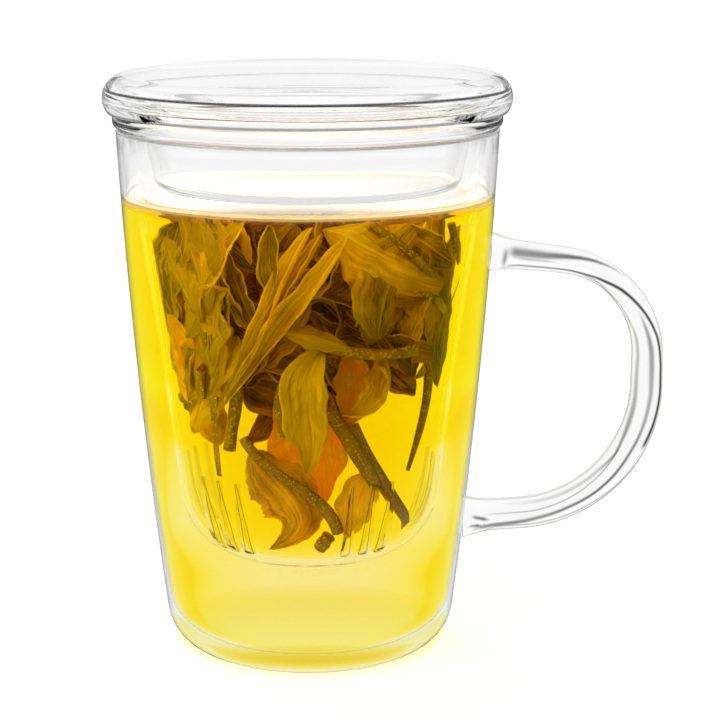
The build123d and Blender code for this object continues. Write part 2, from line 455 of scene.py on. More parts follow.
def mug_walls(sizes):
    """Outer and inner wall lines of the mug, each as low, middle and high (radius, height)."""
    rim_radius = (MUG_HIGH.y - MUG_LOW.y) / 2
    rim = MUG_HIGH.z
    outer = ((sizes.foot_radius, 0.0), (sizes.waist_radius, rim / 2), (rim_radius, rim))
    bead = rim - sizes.rim_bead
    heights = np.array([sizes.floor, (sizes.floor + bead) / 2, bead])
    walls = np.array([sizes.foot_wall, sizes.waist_wall, sizes.upper_wall])
    inner = tuple(zip(parabola(*outer, heights) - walls, heights))
    return outer, inner


def mug_profile(sizes):
    """Half section of the mug: under the foot, up the outside, over the rim, down to the floor."""
    outer, inner = mug_walls(sizes)
    rim_radius, rim = outer[2]
    outside = np.linspace(0.14, 0.985, 30) * rim
    inside = np.linspace(0.985 * (rim - sizes.rim_bead), straight_above(sizes), 30)
    inner_rim = rim_radius - sizes.rim_wall
    corners = [(0, 0), (sizes.foot_radius, 0), *zip(parabola(*outer, outside), outside)]
    corners += [(rim_radius, rim), (inner_rim, rim), (inner_rim, rim - sizes.rim_bead * 0.5)]
    corners += [*zip(parabola(*inner, inside), inside), inner[0], (0, sizes.floor)]
    radii = np.zeros(len(corners) - 2)
    radii[0] = sizes.foot_corner
    top = 1 + len(outside)
    radii[top:top + 2] = sizes.rim_wall * 0.46
    radii[top + 2] = sizes.rim_bead * 0.4
    radii[-1] = sizes.floor_corner
    return polyline_with_rounds(corners, radii)


def straight_above(sizes):
    """Height above which the mug's inside is clear of the rounding at its floor."""
    return sizes.floor + 2.2 * sizes.floor_corner


def basket_line(sizes):
    """Outer wall line of the infuser, as low, middle and high (radius, height)."""
    _, inner = mug_walls(sizes)
    seat = MUG_HIGH.z
    middle = (BASKET_STRAIGHT + seat) / 2
    collar = (MUG_HIGH.y - MUG_LOW.y) / 2 - sizes.rim_wall - COLLAR_GAP
    return (
        (float(parabola(*inner, BASKET_STRAIGHT)) - LOW_GAP, BASKET_STRAIGHT),
        (float(parabola(*inner, middle)) - MIDDLE_GAP, middle),
        (collar, seat),
    )


def basket_outside(sizes, heights, clearance=0.0):
    """Radius so far outside the infuser's wall at each height."""
    return parabola(*basket_line(sizes), heights) + clearance


def drawn_in(heights, straight, corner):
    """How far a quarter circle of the corner's radius has gone in, below the height where the wall ends."""
    below = np.clip((straight - heights) / corner, 0, 1)
    return corner * (1 - np.sqrt(1 - below ** 2))


def basket_skin(sizes, heights, clearance):
    """The radius outside the infuser's wall, with its lower corner."""
    radius = basket_outside(sizes, np.maximum(heights, BASKET_STRAIGHT), clearance)
    return radius - drawn_in(heights, BASKET_STRAIGHT, BASKET_CORNER)


def basket_profile(sizes):
    """Half section of the infuser: bottom, outside, flange, mouth and down the inside."""
    seat, top, bottom = MUG_HIGH.z, INFUSER_HIGH.z, INFUSER_LOW.z
    flange = (INFUSER_HIGH.y - INFUSER_LOW.y) / 2
    wall = sizes.basket_wall
    outer = basket_line(sizes)
    collar = outer[2][0]
    heights = np.linspace(BASKET_STRAIGHT + 4 * MM, seat - 3 * MM, 24)
    radii_out = parabola(*outer, heights)
    foot = float(parabola(*outer, bottom + 0.6 * MM))
    near, rising = (foot * 0.5, bottom + 0.1 * MM), bottom + 1.0 * MM
    corners = [(0, bottom), near, (foot, rising), *zip(radii_out, heights)]
    corners += [(collar, seat), (flange, seat), (flange, top), (collar - wall, top)]
    corners += zip(radii_out[::-1] - wall, heights[::-1])
    corners += [(foot - wall, rising + wall), (near[0], near[1] + wall), (0, bottom + wall)]
    radii = np.zeros(len(corners) - 2)
    radii[1] = BASKET_CORNER
    under_flange = 2 + len(heights)
    radii[under_flange:under_flange + 4] = np.array([0.6, 1.5, 1.5, 1.8]) * MM
    radii[-2] = BASKET_CORNER - wall
    return polyline_with_rounds(corners, radii)


def lid_profiles():
    """Outer half section of the lid with its plug, and the half section of its sealed hollow."""
    wall = LID_WALL
    seat = DISH_HIGH.z - 1.6 * MM
    bottom, crown = DISH_LOW.z, COVER_HIGH.z
    edge_top = crown - 0.6 * MM
    radius = -COVER_LOW.x
    plug, root = 33.73 * MM, 35.73 * MM
    centre = (radius - LID_EDGE, edge_top - LID_EDGE)
    angle = np.linspace(-math.asin((centre[1] - seat) / LID_EDGE), math.pi / 2, 110)
    bull_nose = line(centre[0] + LID_EDGE * np.cos(angle), centre[1] + LID_EDGE * np.sin(angle))
    share = np.linspace(1, 0, 10)[1:]
    crowned = line(centre[0] * share, edge_top + (crown - edge_top) * (1 - share ** 2))
    under = polyline_with_rounds(
        [(0, bottom), (plug, bottom), (root, seat), (centre[0], seat)], [2.5 * MM, 3.0 * MM]
    )
    hollow_top = edge_top - wall
    hollow_floor = seat + wall
    hollow_edge = radius - 1.6 * MM
    hollow = polyline_with_rounds(
        [
            (0, bottom + wall), (plug - wall, bottom + wall), (root - wall, hollow_floor),
            (hollow_edge, hollow_floor), (hollow_edge, hollow_top), (0, hollow_top + 0.5 * MM),
        ],
        [1.8 * MM, 3.0 * MM, 2.6 * MM, 3.0 * MM],
    )
    return np.vstack([under, bull_nose, crowned]), hollow


class TEAMUG_OT_mug(bpy.types.Operator):
    """Blow the mug body"""

    bl_idname = "teamug.mug"
    bl_label = "Mug body"

    def execute(self, context):
        points, faces = lathe(mug_profile(context.scene.teamug_glass))
        mug = piece("mug_glass", points, faces, mug_material(), "mug", "mug_glass", ["mug_body"])
        # Painted shade: a dark line round the outside just under the rim.
        shade = np.interp(points[:, 2], np.array([117.1, 117.3, 117.8, 118.0]) * MM, [1.0, 0.4, 0.4, 1.0])
        shade[np.hypot(points[:, 0], points[:, 1]) < RIM_PAINTED_LINE_FROM] = 1.0
        add_values(mug, "shade", shade)
        return {"FINISHED"}


# Painted shade: darker lines near the outlines of the glass, standing in for reflected dark surroundings.
# Turn away from the eye from 0 to 1, grey.
WALL_PAINTED_LINES = ((0.0, 1.0), (0.74, 1.0), (0.88, 0.62), (1.0, 0.1))
LID_PAINTED_LINES = ((0.0, 1.0), (0.55, 1.0), (0.8, 0.85), (1.0, 0.6))
CROWN_PAINTED_LINES = ((0.0, 0.98), (0.938, 0.98), (0.953, 0.5), (1.0, 0.4))
# Painted shade: dark lines round the lid's edge, standing in for reflections. Height in mm, grey.
LID_PAINTED_BANDS = (
    (119.0, 1.0), (121.3, 1.0), (121.5, 0.4), (121.9, 0.4), (122.2, 1.0), (124.5, 1.0), (124.7, 0.75),
    (124.9, 1.0), (126.25, 1.0), (126.4, 0.12), (126.75, 0.12), (126.95, 1.0), (131.0, 1.0),
)
# Painted shade: dark lines along the drawn rod, standing in for reflections of dark surroundings. Stations
# of each: share of the length from the upper root, place across it from its inner side (-1) to its outer
# side (1), half the width in the same measure, depth of grey.
ROD_PAINTED_LINES = (
    (
        (0.04, 0.28, 0.25, 0.0), (0.055, 0.28, 0.32, 0.7), (0.115, 0.3, 0.28, 0.72),
        (0.17, 0.42, 0.16, 0.85), (0.21, 0.62, 0.11, 0.8), (0.25, 0.8, 0.07, 0.4),
        (0.28, 0.88, 0.05, 0.0),
    ),
    (
        (0.03, -0.62, 0.06, 0.0), (0.06, -0.62, 0.06, 0.4), (0.155, -0.62, 0.07, 0.6),
        (0.2, -0.6, 0.09, 0.8), (0.247, -0.36, 0.13, 0.97), (0.28, -0.06, 0.13, 0.98),
        (0.32, 0.2, 0.11, 0.98), (0.354, 0.42, 0.1, 0.98), (0.394, 0.65, 0.09, 0.98),
        (0.45, 0.79, 0.09, 0.96), (0.5, 0.79, 0.1, 0.96), (0.56, 0.71, 0.11, 0.96),
        (0.6, 0.64, 0.12, 0.93), (0.612, 0.62, 0.12, 0.0),
    ),
    (
        (0.33, -0.02, 0.06, 0.0), (0.37, 0.03, 0.11, 0.6), (0.41, 0.12, 0.17, 0.65),
        (0.45, 0.17, 0.18, 0.6), (0.5, 0.16, 0.15, 0.55), (0.54, 0.1, 0.13, 0.55),
        (0.58, 0.08, 0.1, 0.65), (0.63, 0.05, 0.09, 0.75), (0.68, 0.12, 0.09, 0.85),
        (0.73, 0.15, 0.09, 0.85), (0.79, 0.12, 0.11, 0.75), (0.85, 0.2, 0.13, 0.7),
        (0.9, 0.38, 0.15, 0.75), (0.96, 0.5, 0.15, 0.7), (0.985, 0.55, 0.1, 0.0),
    ),
    (
        (0.33, -0.85, 0.06, 0.0), (0.38, -0.72, 0.09, 0.45), (0.43, -0.7, 0.1, 0.45),
        (0.48, -0.74, 0.11, 0.5), (0.53, -0.74, 0.13, 0.55), (0.57, -0.74, 0.13, 0.6),
        (0.61, -0.7, 0.09, 0.65), (0.645, -0.62, 0.06, 0.7), (0.7, -0.72, 0.09, 0.35),
        (0.8, -0.75, 0.09, 0.3), (0.88, -0.78, 0.09, 0.15), (0.92, -0.8, 0.08, 0.0),
    ),
    (
        (0.62, -0.6, 0.04, 0.0), (0.64, -0.6, 0.04, 0.65), (0.7, -0.5, 0.04, 0.55),
        (0.78, -0.38, 0.04, 0.5), (0.85, -0.3, 0.04, 0.55), (0.93, -0.27, 0.04, 0.45),
        (0.96, -0.27, 0.04, 0.0),
    ),
    (
        (0.6, 0.9, 0.04, 0.0), (0.66, 0.84, 0.04, 0.35), (0.75, 0.84, 0.04, 0.4), (0.9, 0.9, 0.05, 0.6),
        (0.98, 0.9, 0.05, 0.6), (1.0, 0.9, 0.05, 0.0),
    ),
    ((0.05, -0.1, 0.07, 0.0), (0.08, -0.12, 0.08, 0.4), (0.12, -0.12, 0.07, 0.35), (0.15, -0.1, 0.05, 0.0)),
    ((0.031, -0.2, 0.5, 0.0), (0.037, -0.15, 0.55, 0.75), (0.045, 0.0, 0.4, 0.0)),
    ((0.945, 0.1, 0.08, 0.0), (0.957, 0.0, 0.12, 0.8), (0.975, -0.15, 0.1, 0.7), (0.983, -0.2, 0.08, 0.0)),
    ((0.962, 0.42, 0.06, 0.0), (0.97, 0.36, 0.1, 0.8), (0.985, 0.3, 0.08, 0.5), (0.99, 0.3, 0.06, 0.0)),
)


def rod_painted_shade(share, across):
    """Painted shade on the rod's skin: its brightness by share of its length and place across it, also lower
    at its outlines.

    Each of the rod's lines takes away its depth times exp(-|(across - place) / half width|^3). Place,
    half width and depth change evenly from one station to the next.
    """
    bright = np.where(np.abs(across) > 0.96, 0.75, 1.0)
    for stations in ROD_PAINTED_LINES:
        at, *values = np.array(stations).T
        place, width, depth = (np.interp(share, at, value) for value in values)
        bright = bright * (1 - depth * np.exp(-np.abs((across - place) / width) ** 3))
    return bright


def mug_material():
    """Borosilicate of the mug, bending light as glass in liquid where the tea wets it, with painted dark
    lines near its outlines and under its rim.
    """
    steps = ((0.003, 1.01), (0.012, 1.05), (0.1015, 1.05), (0.1025, GLASS_INDEX))
    return clear_material("mug_glass", density=60.0, painted_outline=WALL_PAINTED_LINES, index_by_height=steps, drawn=True)


def basket_material():
    """The infuser's glass, mostly under the tea."""
    return clear_material("infuser_glass", index_by_height=((0.1015, 1.08), (0.1025, GLASS_INDEX)))


def lid_material():
    """The lid's glass, with painted dark lines near its outlines and round its edge."""
    return clear_material(
        "lid_glass", index=1.1, density=40.0, painted_outline=LID_PAINTED_LINES, painted_flat_outline=CROWN_PAINTED_LINES,
        index_by_height=((0.1262, 1.1), (0.1276, 1.003)), gloss=1.0, drawn=True,
    )


def rod_material():
    """The same glass drawn solid, with painted dark lines along it. It bends light by the mesh's own index.
    """
    material = clear_material("drawn_glass", density=60.0, drawn=True)
    tree = material.node_tree
    glass = next(one for one in tree.nodes if one.type == "BSDF_PRINCIPLED")
    tree.links.new(node(tree, "Attribute", attribute_name="index")["Fac"], glass.inputs["IOR"])
    return material


def basket_glint_material():
    """Painted highlight: a glowing pale line in the brew along the infuser's wall, where that wall is seen
    edge-on.
    """
    material, tree = new_material("painted_basket_glint", glows=True)
    edge = step(tree, edge_on(tree), 0.74, 0.9)
    stops = ((0.023, 0.0), (0.034, 0.75), (0.06, 0.75), (0.075, 0.9), (0.092, 0.9), (0.099, 0.0))
    wetted = by_height(tree, stops)
    blue = by_height(tree, ((0.036, 0.5), (0.06, 3.5), (0.08, 6.0)))
    colour = node(tree, "CombineColor", {"Red": 1.0, "Green": 0.95, "Blue": blue})[0]
    glow_over(tree, calc(tree, "MULTIPLY", edge, wetted), colour)
    return material


def meniscus_glow_material():
    """Painted highlight: a glowing golden line where the drink climbs the front of the wall."""
    material, tree = new_material("painted_meniscus_glow", glows=True)
    glow_over(tree, step(tree, axes(tree)["Y"], 0.005, -0.02, 0.0, 0.45), (0.8, 0.48, 0.06))
    return material


def slit_material():
    """Cut walls of the slits, tinted a little darker than the blown skin as painted shade."""
    return clear_material("slit_cut", (0.86, 0.83, 0.7), 1.05)


def slit_outline_material():
    """Painted shade along a slit's outline: dark on its outer side and clear on the side that faces the
    basket's axis.
    """
    material, tree = new_material("painted_slit_outline")
    painted_dark_side = node(tree, "BsdfPrincipled", {"Base Color": (0.12, 0.08, 0.02), "Roughness": 0.5})[0]
    place = node(tree, "TexCoord")["Object"]
    level = node(tree, "VectorMath", {0: place, 1: (1, 1, 0)}, operation="MULTIPLY")["Vector"]
    normal = node(tree, "NewGeometry")["Normal"]
    outwards = node(tree, "VectorMath", {0: level, 1: normal}, operation="DOT_PRODUCT")["Value"]
    share = calc(tree, "MULTIPLY", calc(tree, "GREATER_THAN", outwards, 0.0), 0.55)
    node(tree, "OutputMaterial", {"Surface": mix(tree, share, clear(tree), painted_dark_side)})
    return material


def stain_material(name, absorbed, density):
    """Colour that only deepens the liquid round it: no surface, light lost by depth."""
    material, tree = new_material(name)
    depth = node(tree, "VolumeAbsorption", {"Color": absorbed, "Density": density})[0]
    node(tree, "OutputMaterial", {"Surface": clear(tree), "Volume": depth})
    return material


def sheen_material():
    """The liquid's surface: clear from above, at a low angle a pale mirror mixed with a glowing painted pale
    reflection.
    """
    material, tree = new_material("tea_sheen", glows=True)
    mirror = node(tree, "BsdfGlossy", {"Color": CREAM, "Roughness": 0.03})[0]
    painted_pale_reflection = node(tree, "BsdfDiffuse", {"Color": CREAM})[0]
    painted_reflection_glow = node(tree, "AddShader", {0: painted_pale_reflection, 1: glow(tree, (0.21, 0.185, 0.155))})[0]
    share = step(tree, edge_on(tree), 0.3, 0.85, 0.02, 0.96)
    surface = mix(tree, share, clear(tree), mix(tree, 0.85, mirror, painted_reflection_glow))
    node(tree, "OutputMaterial", {"Surface": lit_through(tree, surface)})
    return material


def handle_path(count=240):
    """Even points of the handle's centre line in the XZ plane, and each one's share of its length."""
    top, bottom = 89.9 * MM, 28.6 * MM
    reach = HANDLE_HIGH.x - 3.8 * MM
    corners = [(39.2 * MM, top), (reach, top - 4.3 * MM), (reach, bottom + 2.3 * MM), (34.6 * MM, bottom)]
    path = polyline_with_rounds(corners, [22.0 * MM, 30.0 * MM], steps=60)
    travelled = np.concatenate([[0], np.cumsum(np.linalg.norm(np.diff(path, axis=0), axis=1))])
    even = np.linspace(0, travelled[-1], count)
    x = np.interp(even, travelled, path[:, 0])
    z = np.interp(even, travelled, path[:, 1])
    return np.column_stack([x, np.zeros(count), z]), even / even[-1]


class TEAMUG_OT_handle(bpy.types.Operator):
    """Draw the handle rod"""

    bl_idname = "teamug.handle"
    bl_label = "Handle"

    def execute(self, context):
        centres, share = handle_path()
        across = np.tile([0.0, 1.0, 0.0], (len(centres), 1))
        upwards = np.cross(unit(np.gradient(centres, axis=0)), across)
        radii = np.interp(
            share, [0, 0.02, 0.05, 0.12, 0.25, 0.42, 0.6, 0.8, 0.94, 0.97, 1],
            np.array([4.9, 4.0, 3.4, 3.05, 2.9, 3.5, 3.78, 3.65, 3.6, 4.0, 4.9]) * MM,
        )
        sides = 160
        points, faces = tube(centres, across, upwards, radii, sides)
        # Both roots end on the mug's outside: a point inside it moves out along X to the wall.
        outer, _ = mug_walls(context.scene.teamug_glass)
        wall = parabola(*outer, points[:, 2]) + 0.03 * MM
        points[:, 0] = np.maximum(points[:, 0], np.sqrt(wall ** 2 - points[:, 1] ** 2))
        rod = piece(
            "handle_glass", points, faces, rod_material(), "mug", "mug_glass",
            ["handle", "handle_pad_upper", "handle_pad_lower"],
        )
        # Painted shade: dark lines along the rod and at its outlines.
        bright = rod_painted_shade(share[:, None], np.sin(even_turns(sides))).ravel()
        add_values(rod, "shade", np.concatenate([bright, [1.0, 1.0]]))
        # The fused roots bend light little, so they stay clear when they are seen through the tea.
        index = np.interp(share, [0.03, 0.07, 0.93, 0.97], [ROOT_INDEX, GLASS_INDEX, GLASS_INDEX, ROOT_INDEX])
        add_values(rod, "index", np.concatenate([np.repeat(index, sides), [ROOT_INDEX, ROOT_INDEX]]))
        return {"FINISHED"}


def directions(turns):
    """Outwards and sideways for turns about the axis, counted from the front."""
    sine, cosine, level = np.sin(turns), np.cos(turns), np.zeros(np.shape(turns))
    return np.stack([sine, -cosine, level], axis=-1), np.stack([cosine, sine, level], axis=-1)


def slit_outline(steps=12):
    """Outline of one slit, seen straight on: a small circle above a larger one, joined by tangents."""
    root, tip = SLIT_ROOT / 2, SLIT_TIP / 2
    lean = math.asin((root - tip) / (SLIT_HEIGHT - root - tip))
    over = np.linspace(lean, math.pi - lean, steps)
    under = np.linspace(math.pi - lean, 2 * math.pi + lean, steps)
    top = line(tip * np.cos(over), SLIT_LOW + SLIT_HEIGHT - tip + tip * np.sin(over))
    bottom = line(root * np.cos(under), SLIT_LOW + root + root * np.sin(under))
    return np.vstack([top, bottom])


def slit_cutters():
    """The slits' cutters, each its outline carried outwards in the direction it faces."""
    outline = slit_outline()
    count = len(outline)
    edge = np.arange(count)
    after = (edge + 1) % count
    faces = np.stack([edge, after, after + count, edge + count], axis=1).tolist()
    faces += [edge[::-1].tolist(), (edge + count).tolist()]
    parts = []
    for outwards, sideways in zip(*directions(SLIT_TURNS)):
        flat = outline[:, :1] * sideways + outline[:, 1:] * UP
        parts.append((np.vstack([flat + outwards * 13.5 * MM, flat + outwards * 34.0 * MM]), faces))
    return joined(parts)


def painted_slit_outlines(sizes):
    """Thin bead along the outline of every slit, on the outside of the basket, that carries a painted dark
    outline.

    Point (slit, i, j) lies on the outline at sideways place x_i and height z_i, carried outwards to
    sqrt(R(z_i)^2 - x_i^2), then the bead's radius away from it, turned by j equal steps about the outline.
    """
    outline = slit_outline(steps=20)
    count, sides, bead = len(outline), 6, 0.08 * MM
    out = np.sqrt(basket_skin(sizes, outline[:, 1], 0.02 * MM) ** 2 - outline[:, 0] ** 2)
    outwards, sideways = (way[:, None, :] for way in directions(SLIT_TURNS))
    middle = sideways * outline[:, :1] + outwards * out[:, None] + UP * outline[:, 1:]
    along = unit(np.roll(middle, -1, axis=1) - np.roll(middle, 1, axis=1))
    across = unit(np.cross(along, outwards))
    lift = np.cross(across, along)
    turn = even_turns(sides)[:, None]
    rim = np.cos(turn) * across[:, :, None, :] + np.sin(turn) * lift[:, :, None, :]
    points = middle[:, :, None, :] + bead * rim
    first = np.arange(len(SLIT_TURNS))[:, None, None] * count * sides
    return points.reshape(-1, 3), (quads(count, sides, closed=True) + first).reshape(-1, 4).tolist()


class TEAMUG_OT_infuser(bpy.types.Operator):
    """Blow the infuser basket and cut its slits"""

    bl_idname = "teamug.infuser"
    bl_label = "Infuser"

    def execute(self, context):
        sizes = context.scene.teamug_glass
        points, faces = lathe(basket_profile(sizes))
        basket = piece(
            "infuser_glass_basket", points, faces, basket_material(), "infuser", "infuser_glass", ["infuser"]
        )
        cutter_mesh = bpy.data.meshes.new("slit_cutters")
        cutter_points, cutter_faces = slit_cutters()
        cutter_mesh.from_pydata(cutter_points.tolist(), [], cutter_faces)
        cutter_mesh.materials.append(slit_material())
        cutter = bpy.data.objects.new("slit_cutters", cutter_mesh)
        context.scene.collection.objects.link(cutter)
        cut = basket.modifiers.new("slits", "BOOLEAN")
        cut.operation = "DIFFERENCE"
        cut.solver = "EXACT"
        cut.material_mode = "TRANSFER"
        cut.object = cutter
        context.view_layer.update()
        graph = context.evaluated_depsgraph_get()
        shaped = bpy.data.meshes.new_from_object(basket.evaluated_get(graph), depsgraph=graph)
        basket.modifiers.clear()
        plain = basket.data
        basket.data = shaped
        bpy.data.meshes.remove(plain)
        shaped.name = "infuser_glass_basket"
        bpy.data.objects.remove(cutter)
        bpy.data.meshes.remove(cutter_mesh)
        shaped.polygons.foreach_set("use_smooth", np.ones(len(shaped.polygons), bool))
        shaped.set_sharp_from_angle(angle=math.radians(32))
        if len(shaped.polygons) < 1000:
            raise RuntimeError("the slits were not cut")
        piece("painted_slit_outlines", *painted_slit_outlines(sizes), slit_outline_material(), "infuser", "infuser_glass")
        return {"FINISHED"}


class TEAMUG_OT_lid(bpy.types.Operator):
    """Blow the hollow lid"""

    bl_idname = "teamug.lid"
    bl_label = "Lid"

    def execute(self, context):
        outer, hollow = (lathe(profile) for profile in lid_profiles())
        turned = (hollow[0], [face[::-1] for face in hollow[1]])
        shape = joined([outer, turned])
        shell = piece(
            "lid_glass_shell", *shape, lid_material(), "lid", "lid_glass", ["lid_cover", "lid_dish"]
        )
        points = outer[0]
        # Painted shade: dark bands round the lid's round edge, by height.
        levels, greys = np.array(LID_PAINTED_BANDS).T
        edge = np.interp(points[:, 2], levels * MM, greys)
        edge[np.hypot(points[:, 0], points[:, 1]) < LID_PAINTED_BANDS_FROM] = 1.0
        add_values(shell, "shade", np.concatenate([edge, np.ones(len(hollow[0]))]))
        return {"FINISHED"}


# ---------------------------------------------------------------- the drink

def brew_edge(inner, heights):
    """Radius that the drink seems to fill: the wall's inside, and higher up some way into the glass."""
    rise = np.clip((heights - 25 * MM) / (60 * MM), 0, 1) * np.clip((102 * MM - heights) / (4 * MM), 0, 1)
    return parabola(*inner, heights) + 0.75 * MM * rise


def brew_outline(sizes, level, gap):
    """Half section of the filled hollow, from the axis at the floor to the axis at the surface."""
    _, inner = mug_walls(sizes)
    heights = np.linspace(straight_above(sizes), level - 0.6 * MM, 24)
    floor = sizes.floor + gap
    wall_here = float(parabola(*inner, level)) - gap
    corners = [(0, floor), (inner[0][0] - gap, floor), *zip(brew_edge(inner, heights) - gap, heights)]
    corners += [(wall_here, level + 0.9 * MM), (wall_here - 1.8 * MM, level), (0, level)]
    radii = np.zeros(len(corners) - 2)
    radii[0] = sizes.floor_corner
    radii[-1] = 2.0 * MM
    return polyline_with_rounds(corners, radii)


def block(radii, low, high):
    """Half section of a round block: its radius at the bottom and at the top, and both heights."""
    return [(0, low), (radii[0], low), (radii[1], high), (0, high)]


def foot_ring(sizes, inner):
    """The brew round the foot: widest just above the floor, thin at the basket's foot, and wide above it."""
    corner = sizes.floor_corner
    heights = np.linspace(sizes.floor + 0.6 * MM, 60 * MM, 40)
    outside = parabola(*inner, heights) - 0.2 * MM - drawn_in(heights, sizes.floor + corner, corner)
    thickness = np.interp(
        heights, np.array([5, 8, 12, 17, 21, 25, 31, 40, 50, 56, 60]) * MM,
        np.array([2.5, 4, 5, 5.5, 4, 2.2, 1.9, 2.8, 4.5, 3, 0.5]) * MM,
    )
    wall_from = 37 * MM
    reach = np.where(heights > wall_from, basket_outside(sizes, np.maximum(heights, wall_from), 0.05 * MM), 0)
    return ring(line(np.maximum(reach, outside - thickness), heights), line(outside, heights))


def crescent():
    """Painted light in the glass foot: a ring of tea colour for the light that the foot gathers from the
    brew, widest at the front and a line at the back.

    The inner line goes out towards the outer one, by as much as the point lies away from the front.
    """
    heights = np.array([0.8, 4.2]) * MM
    outside = np.array([25.5, 28.6]) * MM
    points, faces = ring(line(17 * MM, heights), line(outside, heights))
    radius = np.hypot(points[:, 0], points[:, 1])
    share = np.clip(-2.2 * points[:, 1] / radius - 1.2, 0.01, 1)
    edge = np.interp(points[:, 2], heights, outside)
    points[:, :2] *= ((edge - (edge - radius) * share) / radius)[:, None]
    return points, faces


def pour(name, shape, material):
    return piece(name, *shape, material, "mug", "tea")


class TEAMUG_OT_brew(bpy.types.Operator):
    """Pour the tea, strongest round the leaves and high at the wall, weakest under the basket, where its
    paleness is painted light from below
    """

    bl_idname = "teamug.brew"
    bl_label = "Brew"

    def execute(self, context):
        sizes = context.scene.teamug_glass
        level = context.scene.teamug_brew.level
        _, inner = mug_walls(sizes)
        tea = clear_material(
            "yellow_tea", index=1.04, absorbed=(0.97, 0.72, 0.0), density=9.0,
            index_by_height=((0.006, 1.0), (0.012, 1.04)),
        )
        pour("tea", lathe(brew_outline(sizes, level, -0.12 * MM)), tea)

        wall = sizes.basket_wall
        heights = np.linspace(36 * MM, level - 0.15 * MM, 20)
        radii = basket_outside(sizes, heights) - wall - 0.05 * MM
        bottom = INFUSER_LOW.z + wall + 0.3 * MM
        corners = [(0, bottom), (radii[0] - 1.2 * MM, bottom + 0.8 * MM)]
        corners += [*zip(radii, heights), (0, heights[-1])]
        rounds = np.zeros(len(corners) - 2)
        rounds[0] = 13.0 * MM
        strong = stain_material("brew_in_basket", (1.0, 0.957, 0.0), 120.0)
        within = pour("brew_in_basket", lathe(polyline_with_rounds(corners, rounds)), strong)
        # The brew that fills the basket mixes with the rest as the basket is lifted out.
        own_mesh(within)

        # A thin ring just outside the basket's wall carries the painted highlight.
        heights = np.concatenate([np.linspace(23.2, 37, 24), np.linspace(38, 98, 20)]) * MM
        near, far = (line(basket_skin(sizes, heights, gap * MM), heights) for gap in (0.12, 0.16))
        skin = pour("painted_basket_glint", ring(near, far), basket_glint_material())
        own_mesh(skin)

        side = stain_material("brew_at_wall", (1.0, 0.985, 0.0), 190.0)
        for number, low in enumerate((50.0, 64.0)):
            heights = np.linspace(low * MM, level - 0.2 * MM, 20)
            outside = line(brew_edge(inner, heights) - 0.15 * MM, heights)
            inside = line(basket_outside(sizes, heights, 0.05 * MM), heights)
            pour(f"brew_at_wall_{number + 1}", ring(inside, outside), side)

        basket_here = float(basket_outside(sizes, level))
        heights = [level + 0.03 * MM, level + 0.07 * MM]
        reach = basket_here - wall - 0.1 * MM
        wall_here = float(parabola(*inner, level)) - 0.3 * MM
        surface = joined([
            lathe(block([reach, reach], *heights)),
            ring(line(basket_here + 0.1 * MM, heights), line(wall_here, heights)),
        ])
        pour("tea_surface", surface, sheen_material())

        # Painted highlight: a narrow glowing ring where the drink climbs the wall.
        heights = np.array([level - 0.5 * MM, level + 0.85 * MM])
        climbing = parabola(*inner, heights) - 0.25 * MM
        narrow = ring(line(climbing - 0.8 * MM, heights), line(climbing, heights))
        pour("painted_meniscus_glow", narrow, meniscus_glow_material())

        pour("brew_at_foot", foot_ring(sizes, inner), stain_material("brew_at_foot", (1.0, 0.95, 0.0), 130.0))

        heights = np.array([level - 2.6 * MM, level - 0.02 * MM])
        disc = lathe(block(parabola(*inner, heights) - 0.3 * MM, *heights))
        pour("brew_below_surface", disc, stain_material("brew_below_surface", (1.0, 0.94, 0.0), 200.0))

        # Painted light: tea colour in the glass foot, standing in for the brew that the foot shows by
        # refraction.
        reach = sizes.foot_radius - 0.8 * MM
        base = block([reach, reach], 0.8 * MM, sizes.floor - 0.2 * MM)
        base = polyline_with_rounds(base, [1.2 * MM, 1.2 * MM])
        pour("painted_tea_in_foot_glass", lathe(base), stain_material("painted_tea_in_foot_glass", (1.0, 0.93, 0.1), 80.0))
        pour("painted_tea_light_in_foot", crescent(), stain_material("painted_tea_light_in_foot", (0.96, 0.86, 0.04), 215.0))
        return {"FINISHED"}


# ---------------------------------------------------------------- leaves

